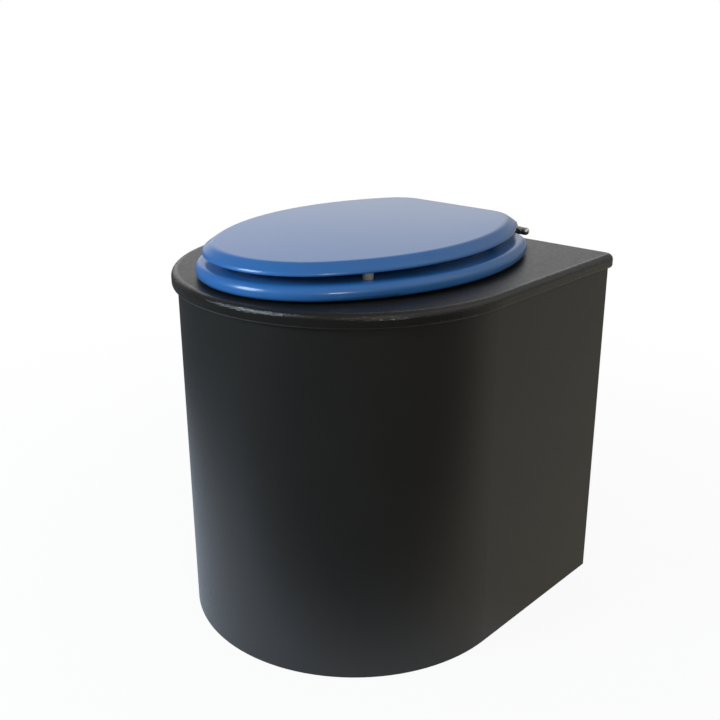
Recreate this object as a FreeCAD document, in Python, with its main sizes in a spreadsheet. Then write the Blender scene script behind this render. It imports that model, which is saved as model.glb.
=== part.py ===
import FreeCAD, Part
import math
import os
import re
import Sketcher
from FreeCAD import Placement, Rotation, Vector

# Dry toilet: casing, lift-off deck, hinged seat and lid, and a bucket with a bail.
# X points to the right, the front faces -Y, Z is up from the floor. Millimetres and degrees.
SIZES = {
    # casing: round front, straight sides, flat back
    "casing_width": 440,
    "casing_depth": 469,
    "casing_height": 443,
    "wall": 9,
    "wall_edge_round": 2,
    "back_thickness": 9,
    "base_thickness": 12,
    "board_fit": 0.2,
    "post_side": 20,
    "post_top_drop": 30,
    "base_cleat_side": 20,
    "base_cleat_room": 60,
    "base_screw_inset": 27,
    "base_corner": 2,
    "stop_length": 40,
    "stop_width": 18,
    "stop_height": 20,
    "stop_clearance": 3,
    # deck
    "deck_thickness": 18,
    "deck_overhang": 7,
    "deck_round": 7.5,
    "deck_corner_extra": 6,
    "deck_under_round": 4,
    "opening_margin": 8,
    "opening_rim_room": 10,
    "deck_fit": 1,
    "deck_cleat_side": 20,
    "deck_cleat_room": 70,
    "rear_cleat_room": 9.5,
    "front_cleat_angle": 60,
    "deck_screw_inset": 25,
    # splash guard hanging in the opening
    "guard_sheet": 1,
    "guard_fit": 0.5,
    "guard_flange": 12,
    "guard_drop": 120,
    "guard_taper": 18,
    # seat outline of tangent arcs, and its opening; the seat lies between the hinge and the deck's front
    "seat_side_margin": 47,
    "seat_front_margin": 15.5,
    "seat_rear_setback": 17,
    "seat_widest_shift": 29.5,
    "seat_nose_inset": 35,
    "seat_nose_room": 66.5,
    "seat_corner": 75,
    "seat_thickness": 17,
    "seat_clearance": 0.4,
    "seat_top_round": 10,
    "seat_edge_flat": 2,
    "ring_side": 68,
    "ring_front": 84,
    "ring_rear": 89,
    "hole_side_room": 5,
    "hole_widest_shift": 2,
    "hole_nose_inset": 17,
    "hole_nose_room": 30,
    "hole_corner_inset": 27,
    "hole_corner_room": 40,
    "hole_top_round": 8,
    "hole_under_round": 3,
    "seat_bumper_radius": 8,
    "seat_bumper_front_inset": 52.5,
    "seat_bumper_front_setback": 118,
    "seat_bumper_rear_inset": 42.5,
    "seat_bumper_rear_setback": 107,
    # lid outline of tangent arcs
    "lid_side_step": 16.5,
    "lid_front_step": 7,
    "lid_rear_setback": 8.5,
    "lid_widest_shift": 18.75,
    "lid_nose_inset": 36,
    "lid_nose_room": 83.25,
    "lid_corner": 66,
    "lid_thickness": 13,
    "lid_gap": 9.5,
    "lid_under_round": 1,
    "lid_edge_flat": 0.5,
    "lid_bumper_radius": 7,
    "lid_bumper_front_inset": 46,
    "lid_bumper_front_setback": 100,
    "lid_bumper_rear_inset": 40,
    "lid_bumper_rear_setback": 95.5,
    "bumper_draft": 1,
    # hinge: two pillars on standard centres, each with a pin that seat and lid turn on
    "hinge_spacing": 155,
    "hinge_rise": 15,
    "pillar_flange_radius": 8,
    "pillar_flange": 2,
    "pillar_radius": 4.8,
    "pillar_neck_rise": 6,
    "pillar_head_radius": 6.5,
    "pillar_head_inner": 7.5,
    "pillar_head_step": 0.2,
    "stud_radius": 4,
    "stud_reach": 22,
    "stud_clearance": 0.6,
    "gasket": 1,
    "washer": 2,
    "washer_radius": 9,
    "washer_clearance": 2.5,
    "nut_height": 10,
    "nut_radius": 7,
    "nut_lip": 1.5,
    "wing_span": 18,
    "wing_thickness": 3,
    "wing_tip": 4,
    "wing_drop": 2,
    "wing_root": 1,
    "thread_fit": 0.1,
    "pin_radius": 3,
    "pin_fit": 0.05,
    "knuckle_radius": 5.5,
    "knuckle_length": 5.5,
    "knuckle_play": 0.5,
    "cap_collar": 3.2,
    "cap_neck": 1.5,
    "cap_neck_radius": 3.8,
    "cap_barrel": 4,
    "cap_radius": 5.2,
    "leaf": 2,
    "leaf_width": 20,
    "leaf_length": 42,
    "leaf_setback": 64,
    "arm_width": 6,
    "arm_clearance": 1,
    # screws
    "screw_shank": 1.75,
    "screw_head": 3.5,
    "screw_head_height": 1.8,
    "screw_fit": 0.1,
    "screw_slot": 0.8,
    "screw_slot_depth": 0.7,
    "pan_head": 3.2,
    "pan_head_height": 1.1,
    "back_screw_length": 25,
    "back_screw_end": 60,
    "base_screw_length": 28,
    "deck_screw_length": 32,
    "guard_screw_length": 12,
    "seat_screw_length": 14,
    "lid_screw_length": 11,
    "leaf_screw_pitch": 24,
    # bucket and bail
    "bucket_ahead": 17,
    "bucket_side_room": 56,
    "bucket_taper": 27,
    "bucket_height": 345,
    "bucket_sheet": 1.5,
    "bucket_bead": 4,
    "bead_round": 1.8,
    "ear_radius": 15,
    "ear_reach": 10,
    "ear_drop": 26,
    "ear_fit": 0.1,
    "bail_room": 23,
    "bail_straight": 12,
    "bail_elbow": 9,
    "bail_wire": 3,
    "bail_bore_fit": 0.1,
    "bail_pin_depth": 7,
    "bail_end_play": 1,
    "bail_clearance": 3.7,
    "grip_radius": 9,
    "grip_angle": 36,
}

doc = FreeCAD.newDocument("dry_toilet")
sheet = doc.addObject("Spreadsheet::Sheet", "Sizes")
for row, (alias, number) in enumerate(SIZES.items(), 1):
    sheet.set(f"A{row}", alias)
    sheet.set(f"B{row}", str(number))
    sheet.setAlias(f"B{row}", alias)
doc.recompute()

# Shared levels and faces, as formulas on the sheet.
DECK_TOP = "(casing_height + deck_thickness)"
SEAT_GAP = "(max(leaf; guard_sheet + pan_head_height) + seat_clearance)"
SEAT_UNDER = f"({DECK_TOP} + {SEAT_GAP})"
SEAT_TOP = f"({SEAT_UNDER} + seat_thickness)"
LID_UNDER = f"({SEAT_TOP} + lid_gap)"
HINGE_Z = f"({DECK_TOP} + hinge_rise)"
REAR = "(casing_depth / 2)"
FRONT_CENTRE = "(casing_width / 2 - casing_depth / 2)"
INNER_HALF = "(casing_width / 2 - wall)"
INNER_REAR = f"({REAR} - back_thickness)"
HINGE_Y = f"({INNER_REAR} - washer_clearance - washer_radius)"
LEAF_FRONT = f"({HINGE_Y} - leaf_setback)"
HEAD_OUTER = "(pillar_radius + pillar_head_step)"
REAR_CLEAT = "(hinge_spacing / 2 - wing_span - rear_cleat_room)"
FIRST_KNUCKLE = f"(hinge_spacing / 2 + {HEAD_OUTER} + knuckle_play)"
KNUCKLE_STEP = "(knuckle_length + knuckle_play)"
BUCKET_Y = "(-bucket_ahead)"
RIM_RADIUS = f"({INNER_HALF} - bucket_side_room)"
FOOT_RADIUS = f"({RIM_RADIUS} - bucket_taper)"
RIM_Z = "(base_thickness + bucket_height)"
EAR_Z = f"({RIM_Z} - ear_drop)"
EAR_FACE = f"({RIM_RADIUS} + ear_reach)"
BAIL_RADIUS = f"({RIM_RADIUS} + bail_room)"
SLOPE = "(bucket_taper / (bucket_height - bucket_bead))"
EAR_WALL = f"({FOOT_RADIUS} + {SLOPE} * (bucket_height - ear_drop))"
# The bail hangs behind the bucket until its grip is a clearance from the sloping side.
BAIL_REST = (f"(atan({SLOPE}) + acos(({EAR_WALL} + grip_radius + bail_clearance)"
             f" / (({BAIL_RADIUS} + bail_straight) * sqrt(1 + {SLOPE}^2))))")

# Outlines of seat, lid and opening: half width, front, rear, nose radius and rear corner radius.
SEAT_HALF = "(casing_width / 2 + deck_overhang - seat_side_margin)"
SEAT_FRONT = f"(seat_front_margin - {REAR} - deck_overhang)"
SEAT_REAR = f"({HINGE_Y} - seat_rear_setback)"
LID_HALF = f"({SEAT_HALF} - lid_side_step)"
LID_FRONT = f"({SEAT_FRONT} + lid_front_step)"
LID_REAR = f"({HINGE_Y} - lid_rear_setback)"
RIM_ROOM = f"({RIM_RADIUS} - opening_rim_room)"
HOLE_FRONT = f"max({SEAT_FRONT} + ring_front; {BUCKET_Y} - {RIM_ROOM})"
HOLE_REAR = f"min({SEAT_REAR} - ring_rear; {BUCKET_Y} + {RIM_ROOM})"
HOLE_LENGTH = f"({HOLE_REAR} - {HOLE_FRONT})"
HOLE_HALF = f"min({SEAT_HALF} - ring_side; {HOLE_LENGTH} / 2 - hole_side_room)"
HOLE_Y = f"(({HOLE_FRONT} + {HOLE_REAR}) / 2 + hole_widest_shift)"
HOLE_CORNER = f"min({HOLE_HALF} - hole_corner_inset; {HOLE_LENGTH} / 2 - hole_corner_room)"
OUTLINES = {
    "seat": (SEAT_HALF, SEAT_FRONT, SEAT_REAR, "seat_corner"),
    "lid": (LID_HALF, LID_FRONT, LID_REAR, "lid_corner"),
    "hole": (HOLE_HALF, HOLE_FRONT, HOLE_REAR, HOLE_CORNER),
}
SIDES = {"left": -1, "right": 1}

nodes = []


def bound(formula):
    return re.sub(r"[a-z][a-z_]*", lambda w: f"Sizes.{w[0]}" if w[0] in SIZES else w[0], formula)


def value(formula):
    return float(sheet.evalExpression(bound(formula)))


def tie(thing, **formulas):
    for prop, formula in formulas.items():
        thing.setExpression(prop.replace("__", "."), bound(formula))


def put(thing, x="0", y="0", z="0", axis=None, angle="0"):
    """Place a piece: its position and its turn about one axis follow the sheet."""
    prop = "LinkPlacement" if thing.TypeId == "App::Link" else "Placement"
    turn = Rotation(Vector(*axis), value(angle)) if axis else Rotation()
    setattr(thing, prop, Placement(Vector(value(x), value(y), value(z)), turn))
    tie(thing, **{f"{prop}__Base__x": x, f"{prop}__Base__y": y, f"{prop}__Base__z": z})
    if axis:
        tie(thing, **{f"{prop}__Rotation__Angle": angle})
    return thing


def node(thing, name):
    thing.Label = name
    nodes.append(thing)
    return thing


# Plain solids and booleans

def box(name, x, y, z):
    """A block between pairs of formulas (low, high) along each axis."""
    piece = doc.addObject("Part::Box", name)
    tie(piece, Length=f"{x[1]} - ({x[0]})", Width=f"{y[1]} - ({y[0]})", Height=f"{z[1]} - ({z[0]})")
    return put(piece, x[0], y[0], z[0])


def cylinder(name, radius, height):
    piece = doc.addObject("Part::Cylinder", name)
    tie(piece, Radius=radius, Height=height)
    return piece


def cone(name, low, high, height):
    piece = doc.addObject("Part::Cone", name)
    tie(piece, Radius1=low, Radius2=high, Height=height)
    return piece


def fuse(name, *pieces):
    whole = doc.addObject("Part::MultiFuse", name)
    whole.Shapes = list(pieces)
    return whole


def cut(name, base, tool):
    piece = doc.addObject("Part::Cut", name)
    piece.Base = base
    piece.Tool = tool
    return piece


def group(name, master, places):
    """Copies of one master, each at a place: keyword arguments for put()."""
    copies = []
    for number, place in enumerate(places, 1):
        copy = doc.addObject("App::Link", f"{name}_{number}")
        copy.LinkedObject = master
        copy.LinkTransform = True
        copies.append(put(copy, **place))
    whole = doc.addObject("Part::Compound", name)
    whole.Links = copies
    return whole


def screw_set(name, length, places, pan=False):
    """Cross-slotted wood screws that point down from each place, and the drill for their holes."""
    shank = put(cylinder(f"{name}_shank", "screw_shank", length), z=f"-{length}")
    hole = put(cylinder(f"{name}_hole", "screw_shank + screw_fit", f"{length} + screw_fit"),
               z=f"-{length} - screw_fit")
    if pan:
        head = cone(f"{name}_head", "pan_head", "pan_head - pan_head_height / 2", "pan_head_height")
        drill, top = hole, "pan_head_height"
    else:
        head = put(cone(f"{name}_head", "screw_shank", "screw_head", "screw_head_height"),
                   z="-screw_head_height")
        sink = put(cone(f"{name}_sink", "screw_shank + screw_fit", "screw_head + screw_fit",
                        "screw_head_height"), z="-screw_head_height")
        drill, top = fuse(f"{name}_drill", hole, sink), "0"
    reach, half = "screw_head / 2", "screw_slot / 2"
    depth = (f"{top} - screw_slot_depth", f"{top} + screw_slot_depth")
    slots = fuse(f"{name}_slots",
                 box(f"{name}_slot_x", (f"-{reach}", reach), (f"-{half}", half), depth),
                 box(f"{name}_slot_y", (f"-{half}", half), (f"-{reach}", reach), depth))
    screw = cut(f"{name}_screw", fuse(f"{name}_blank", shank, head), slots)
    node(group(name, screw, places), name)
    return group(f"{name}_drills", drill, places)


# Sketches: every dimension is tied to the sheet

def body(name):
    return doc.addObject("PartDesign::Body", name)


def sketch(owner, name, plane="XY_Plane", lift="0"):
    drawing = owner.newObject("Sketcher::SketchObject", name)
    support = next(f for f in owner.Origin.OriginFeatures if f.Role == plane)
    drawing.AttachmentSupport = [(support, "")]
    drawing.MapMode = "FlatFace"
    tie(drawing, AttachmentOffset__Base__z=lift)
    return drawing


def dimension(drawing, kind, where, formula):
    number = drawing.addConstraint(Sketcher.Constraint(kind, *where, value(formula)))
    drawing.renameConstraint(number, f"size_{number}")
    drawing.setExpression(f"Constraints.size_{number}", bound(formula))


def locate(drawing, geometry, point, x, y):
    """Fix one point of the drawing; a zero puts it on the axis itself."""
    for kind, axis, formula in (("DistanceX", -2, x), ("DistanceY", -1, y)):
        if formula == "0":
            drawing.addConstraint(Sketcher.Constraint("PointOnObject", geometry, point, axis))
        else:
            dimension(drawing, kind, (-1, 1, geometry, point), formula)


def line(drawing, start, end):
    return drawing.addGeometry(Part.LineSegment(Vector(*start, 0), Vector(*end, 0)))


def arc(drawing, centre, radius, start, end):
    circle_part = Part.Circle(Vector(*centre, 0), Vector(0, 0, 1), radius)
    return drawing.addGeometry(Part.ArcOfCircle(circle_part, start, end))


def join(drawing, kind, *pairs):
    for first, first_end, second, second_end in pairs:
        drawing.addConstraint(Sketcher.Constraint(kind, first, first_end, second, second_end))


def circle(drawing, x, y, radius):
    round_part = Part.Circle(Vector(value(x), value(y), 0), Vector(0, 0, 1), value(radius))
    ring = drawing.addGeometry(round_part)
    locate(drawing, ring, 3, x, y)
    dimension(drawing, "Radius", (ring,), radius)


def polygon(drawing, corners):
    """Closed straight outline; each corner is a pair of formulas."""
    points = [(value(x), value(y)) for x, y in corners]
    count = len(points)
    lines = [line(drawing, points[i], points[(i + 1) % count]) for i in range(count)]
    join(drawing, "Coincident", *((lines[i - 1], 2, lines[i], 1) for i in range(count)))
    for edge, (x, y) in zip(lines, corners):
        locate(drawing, edge, 1, x, y)


def rectangle(drawing, x, y):
    polygon(drawing, [(x[0], y[0]), (x[1], y[0]), (x[1], y[1]), (x[0], y[1])])


def wall_section(drawing):
    """The bent wall in plan: outer and inner front arcs, straight sides, square rear ends."""
    outer, inner = value("casing_width / 2"), value(INNER_HALF)
    low, high = value(FRONT_CENTRE), value(REAR)
    turn = (math.pi, 2 * math.pi)
    outside = arc(drawing, (0, low), outer, *turn)
    inside = arc(drawing, (0, low), inner, *turn)
    for sign, end in ((-1, 1), (1, 2)):
        outer_line = line(drawing, (sign * outer, low), (sign * outer, high))
        rear_line = line(drawing, (sign * outer, high), (sign * inner, high))
        inner_line = line(drawing, (sign * inner, high), (sign * inner, low))
        join(drawing, "Tangent", (outside, end, outer_line, 1), (inside, end, inner_line, 2))
        join(drawing, "Coincident", (outer_line, 2, rear_line, 1), (rear_line, 2, inner_line, 1))
        drawing.addConstraint(Sketcher.Constraint("Vertical", outer_line))
        drawing.addConstraint(Sketcher.Constraint("Vertical", inner_line))
        drawing.addConstraint(Sketcher.Constraint("Horizontal", rear_line))
        dimension(drawing, "DistanceY", (-1, 1, rear_line, 1), REAR)
    for curve, radius in ((outside, "casing_width / 2"), (inside, INNER_HALF)):
        locate(drawing, curve, 3, "0", FRONT_CENTRE)
        dimension(drawing, "Radius", (curve,), radius)


def horseshoe(drawing, half, rear, corner):
    """Round front, straight sides and a straight rear edge with rounded corners."""
    a, c, r, k = value(half), value(FRONT_CENTRE), value(rear), value(corner)
    front = arc(drawing, (0, c), a, math.pi, 2 * math.pi)
    right = line(drawing, (a, c), (a, r - k))
    right_corner = arc(drawing, (a - k, r - k), k, 0, math.pi / 2)
    back = line(drawing, (a - k, r), (k - a, r))
    left_corner = arc(drawing, (k - a, r - k), k, math.pi / 2, math.pi)
    left = line(drawing, (-a, r - k), (-a, c))
    ring = [front, right, right_corner, back, left_corner, left]
    join(drawing, "Tangent", *((ring[i - 1], 2, ring[i], 1) for i in range(6)))
    for side in (left, right):
        drawing.addConstraint(Sketcher.Constraint("Vertical", side))
    drawing.addConstraint(Sketcher.Constraint("Horizontal", back))
    drawing.addConstraint(Sketcher.Constraint("Equal", left_corner, right_corner))
    locate(drawing, front, 3, "0", FRONT_CENTRE)
    dimension(drawing, "Radius", (front,), half)
    dimension(drawing, "Radius", (right_corner,), corner)
    dimension(drawing, "DistanceY", (-1, 1, back, 1), rear)


def oval(drawing, name, grow="0"):
    """Outline of seat, lid or opening in tangent arcs, grown outwards by an offset."""
    base_half, base_front, base_rear, base_corner = OUTLINES[name]
    base_nose = (f"min({base_half} - {name}_nose_inset;"
                 f" ({base_rear} - {base_front}) / 2 - {name}_nose_room)")
    half, rear, nose, corner = (f"({part} + {grow})"
                                for part in (base_half, base_rear, base_nose, base_corner))
    mid = f"(({base_front} + {base_rear}) / 2 + {name}_widest_shift)"
    nose_centre = f"({base_front} + {base_nose})"
    side = f"(({half}^2 + ({mid} - {nose_centre})^2 - {nose}^2) / (2 * ({half} - {nose})))"
    a, m, n, r, k, s, nose_y = (value(f) for f in (half, mid, nose, rear, corner, side, nose_centre))
    corner_y, side_x = r - k, a - s
    corner_x = side_x + math.sqrt((s - k) ** 2 - (corner_y - m) ** 2)
    low = math.atan2(nose_y - m, -side_x)
    high = math.atan2(corner_y - m, corner_x - side_x)
    ring = [
        arc(drawing, (0, nose_y), n, math.pi - low, 2 * math.pi + low),
        arc(drawing, (side_x, m), s, low, high),
        arc(drawing, (corner_x, corner_y), k, high, math.pi / 2),
        line(drawing, (corner_x, r), (-corner_x, r)),
        arc(drawing, (-corner_x, corner_y), k, math.pi / 2, math.pi - high),
        arc(drawing, (-side_x, m), s, math.pi - high, math.pi - low),
    ]
    join(drawing, "Tangent", *((ring[i - 1], 2, ring[i], 1) for i in range(6)))
    nose_arc, right_side, right_corner, back, left_corner, left_side = ring
    drawing.addConstraint(Sketcher.Constraint("Equal", right_side, left_side))
    drawing.addConstraint(Sketcher.Constraint("Equal", right_corner, left_corner))
    drawing.addConstraint(Sketcher.Constraint("Symmetric", back, 1, back, 2, -2))
    locate(drawing, nose_arc, 3, "0", nose_centre)
    dimension(drawing, "Radius", (nose_arc,), nose)
    dimension(drawing, "Radius", (right_side,), side)
    dimension(drawing, "Radius", (right_corner,), corner)
    dimension(drawing, "DistanceY", (-1, 1, right_side, 3), mid)
    dimension(drawing, "DistanceY", (-1, 1, back, 1), rear)


def feature(owner, kind, name, drawing, **formulas):
    step = owner.newObject(f"PartDesign::{kind}", name)
    step.Profile = drawing
    tie(step, **formulas)
    return step


def revolve(owner, name, drawing, axis, angle="360"):
    step = feature(owner, "Revolution", name, drawing)
    step.ReferenceAxis = (drawing, [axis])
    tie(step, Angle=angle)
    return step


def loft(owner, kind, name, low, high):
    step = feature(owner, kind, name, low)
    step.Sections = [high]
    step.Ruled = True
    return step


def rim(shape, level, inner):
    """Names of the edges round the flat face at a level: its outline, or the edges of its holes."""
    chosen = []
    for face in shape.Faces:
        flat = face.BoundBox.ZLength < 1e-6 and abs(face.BoundBox.ZMin - level) < 1e-6
        if flat:
            loops = [w for w in face.Wires if w.isSame(face.OuterWire) != inner]
            chosen += [edge for loop in loops for edge in loop.Edges]
    return [f"Edge{i}" for i, edge in enumerate(shape.Edges, 1) if any(edge.isSame(c) for c in chosen)]


def round_rim(owner, name, level, radius, inner=False):
    doc.recompute()
    base = owner.Tip
    step = owner.newObject("PartDesign::Fillet", name)
    step.Base = (base, rim(base.Shape, value(level), inner))
    tie(step, Radius=radius)


# Casing

def make_casing():
    wall = body("casing_wall_body")
    plan = sketch(wall, "casing_wall_plan")
    wall_section(plan)
    feature(wall, "Pad", "casing_wall_pad", plan, Length="casing_height")
    doc.recompute()
    base = wall.Tip
    corner = (value("casing_width / 2"), value(REAR))
    edges = [f"Edge{i}" for i, e in enumerate(base.Shape.Edges, 1)
             if all(math.dist((abs(v.X), v.Y), corner) < 1e-6 for v in e.Vertexes)]
    ends = wall.newObject("PartDesign::Fillet", "casing_wall_ends")
    ends.Base = (base, edges)
    tie(ends, Radius="wall_edge_round")
    node(wall, "casing_wall")

    back = box("back_board", (f"-{INNER_HALF}", INNER_HALF), (INNER_REAR, REAR), ("0", "casing_height"))
    floor = body("base_board")
    plan = sketch(floor, "base_plan")
    horseshoe(plan, f"({INNER_HALF} - board_fit)", f"({INNER_REAR} - board_fit)", "base_corner")
    feature(floor, "Pad", "base_pad", plan, Length="base_thickness")

    post_middle = f"({INNER_HALF} - post_side / 2)"
    post_top = "casing_height - post_top_drop"
    levels = ("back_screw_end", f"({post_top}) / 2", f"{post_top} - back_screw_end")
    back_drills = screw_set("back_panel_screws", "back_screw_length", [
        {"x": f"{sign} * {post_middle}", "y": REAR, "z": z, "axis": (1, 0, 0), "angle": "-90"}
        for sign in SIDES.values() for z in levels])
    cleat_middle = f"({INNER_HALF} - base_cleat_side / 2)"
    cleat_rear = f"({INNER_REAR} - post_side - base_cleat_room)"
    cleat_ends = (f"{FRONT_CENTRE} + base_screw_inset", f"{cleat_rear} - base_screw_inset")
    spots = [(sign, cleat_middle, y) for sign in SIDES.values() for y in cleat_ends]
    spots += [(sign, post_middle, f"{INNER_REAR} - post_side / 2") for sign in SIDES.values()]
    base_drills = screw_set("base_screws", "base_screw_length", [
        {"x": f"{sign} * {x}", "y": y, "axis": (1, 0, 0), "angle": "180"} for sign, x, y in spots])
    node(cut("back_drilled", back, back_drills), "back_panel")
    node(cut("base_drilled", floor, base_drills), "base_panel")

    casing_drills = fuse("casing_drills", back_drills, base_drills)
    for side, sign in SIDES.items():
        inner, outer = f"({INNER_HALF} - post_side)", INNER_HALF
        x = (inner, outer) if sign > 0 else (f"-{outer}", f"-{inner}")
        post = box(f"post_{side}", x, (f"{INNER_REAR} - post_side", INNER_REAR),
                   ("base_thickness", post_top))
        node(cut(f"post_{side}_drilled", post, casing_drills), f"corner_post_{side}")
        inner = f"({INNER_HALF} - base_cleat_side)"
        x = (inner, outer) if sign > 0 else (f"-{outer}", f"-{inner}")
        cleat = box(f"base_cleat_{side}_blank", x, (FRONT_CENTRE, cleat_rear),
                    ("base_thickness", "base_thickness + base_cleat_side"))
        node(cut(f"base_cleat_{side}_drilled", cleat, base_drills), f"base_cleat_{side}")

    block = box("stop_block", ("-stop_length / 2", "stop_length / 2"), ("0", "stop_width"),
                ("0", "stop_height"))
    reach = f"({FOOT_RADIUS} + stop_clearance) * sqrt(2) / 2"
    node(group("stops", block, [
        {"x": f"{sx} * {reach}", "y": f"{BUCKET_Y} + {sy} * {reach}", "z": "base_thickness",
         "axis": (0, 0, 1), "angle": turn}
        for sx, sy, turn in ((1, 1, "-45"), (-1, 1, "45"), (-1, -1, "135"), (1, -1, "225"))]),
         "bucket_stops")


# Deck with its cleats and splash guard

def make_deck():
    board = body("deck_blank")
    plan = sketch(board, "deck_plan", lift="casing_height")
    half = "(casing_width / 2 + deck_overhang)"
    horseshoe(plan, half, f"({REAR} + deck_overhang)", "(deck_round + deck_corner_extra)")
    oval(plan, "hole", "opening_margin")
    feature(board, "Pad", "deck_pad", plan, Length="deck_thickness")
    round_rim(board, "deck_top_edge", DECK_TOP, "deck_round")
    round_rim(board, "deck_under_edge", "casing_height", "deck_under_round")

    low = "casing_height - deck_cleat_side"
    outer = f"({INNER_HALF} - deck_fit)"
    inner = f"({outer} - deck_cleat_side)"
    ends = (FRONT_CENTRE, f"{INNER_REAR} - deck_cleat_room")
    height = (low, "casing_height")
    blanks = {
        "left": box("cleat_left", (f"-{outer}", f"-{inner}"), ends, height),
        "right": box("cleat_right", (inner, outer), ends, height),
        "rear": box("cleat_rear", (f"-{REAR_CLEAT}", REAR_CLEAT),
                    (f"{INNER_REAR} - deck_fit - deck_cleat_side", f"{INNER_REAR} - deck_fit"), height),
    }
    front = body("cleat_front")
    section = sketch(front, "cleat_front_section", "XZ_Plane")
    rectangle(section, (inner, outer), height)
    revolve(front, "cleat_front_turn", section, "V_Axis", "front_cleat_angle")
    put(front, y=FRONT_CENTRE, axis=(0, 0, 1), angle="-90 - front_cleat_angle / 2")
    blanks["front"] = front

    middle = f"({outer} - deck_cleat_side / 2)"
    screw_rows = (f"{ends[0]} + deck_screw_inset", f"{ends[1]} - deck_screw_inset")
    spots = [(f"{sign} * {middle}", y) for sign in SIDES.values() for y in screw_rows]
    spots += [(f"{end} * ({REAR_CLEAT} - deck_screw_inset)",
               f"{INNER_REAR} - deck_fit - deck_cleat_side / 2") for end in (-1, 1)]
    spots += [(f"{end} * {middle} * sin(front_cleat_angle / 4)",
               f"{FRONT_CENTRE} - {middle} * cos(front_cleat_angle / 4)") for end in (-1, 1)]
    cleat_drills = screw_set("deck_cleat_screws", "deck_screw_length", [
        {"x": x, "y": y, "z": low, "axis": (1, 0, 0), "angle": "180"} for x, y in spots])
    for side, blank in blanks.items():
        node(cut(f"cleat_{side}_drilled", blank, cleat_drills), f"deck_cleat_{side}")

    guard = body("guard_blank")
    levels = {"top": DECK_TOP, "foot": f"{DECK_TOP} - guard_drop"}
    inset = {"top": "guard_fit", "foot": "guard_fit + guard_taper"}
    for kind, sheet_in in (("AdditiveLoft", "0"), ("SubtractiveLoft", "guard_sheet")):
        plans = []
        for end in levels:
            plan = sketch(guard, f"guard_{end}_{kind}", lift=levels[end])
            oval(plan, "hole", f"opening_margin - ({inset[end]}) - {sheet_in}")
            plans.append(plan)
        loft(guard, kind, f"guard_{kind}", *plans)
    flange = sketch(guard, "guard_flange_plan", lift=DECK_TOP)
    oval(flange, "hole", "opening_margin + guard_flange")
    oval(flange, "hole", "opening_margin - guard_fit - guard_sheet")
    feature(guard, "Pad", "guard_flange_pad", flange, Length="guard_sheet")
    outwards = "opening_margin + guard_flange / 2"
    across = f"{HOLE_HALF} + {outwards}"
    guard_drills = screw_set("guard_screws", "guard_screw_length", [
        {"x": x, "y": y, "z": f"{DECK_TOP} + guard_sheet"}
        for x, y in ((f"-({across})", HOLE_Y), (across, HOLE_Y),
                     ("0", f"{HOLE_FRONT} - ({outwards})"), ("0", f"{HOLE_REAR} + {outwards}"))], pan=True)
    node(cut("guard_drilled", guard, guard_drills), "splash_guard")

    stud_hole = cylinder("stud_hole", "stud_radius + stud_clearance", "deck_thickness")
    stud_holes = group("stud_holes", stud_hole, [
        {"x": f"{sign} * hinge_spacing / 2", "y": HINGE_Y, "z": "casing_height"}
        for sign in SIDES.values()])
    drills = fuse("deck_drills", cleat_drills, guard_drills, stud_holes)
    node(cut("deck_drilled", board, drills), "deck_board")


# Hinge hardware on the deck

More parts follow.
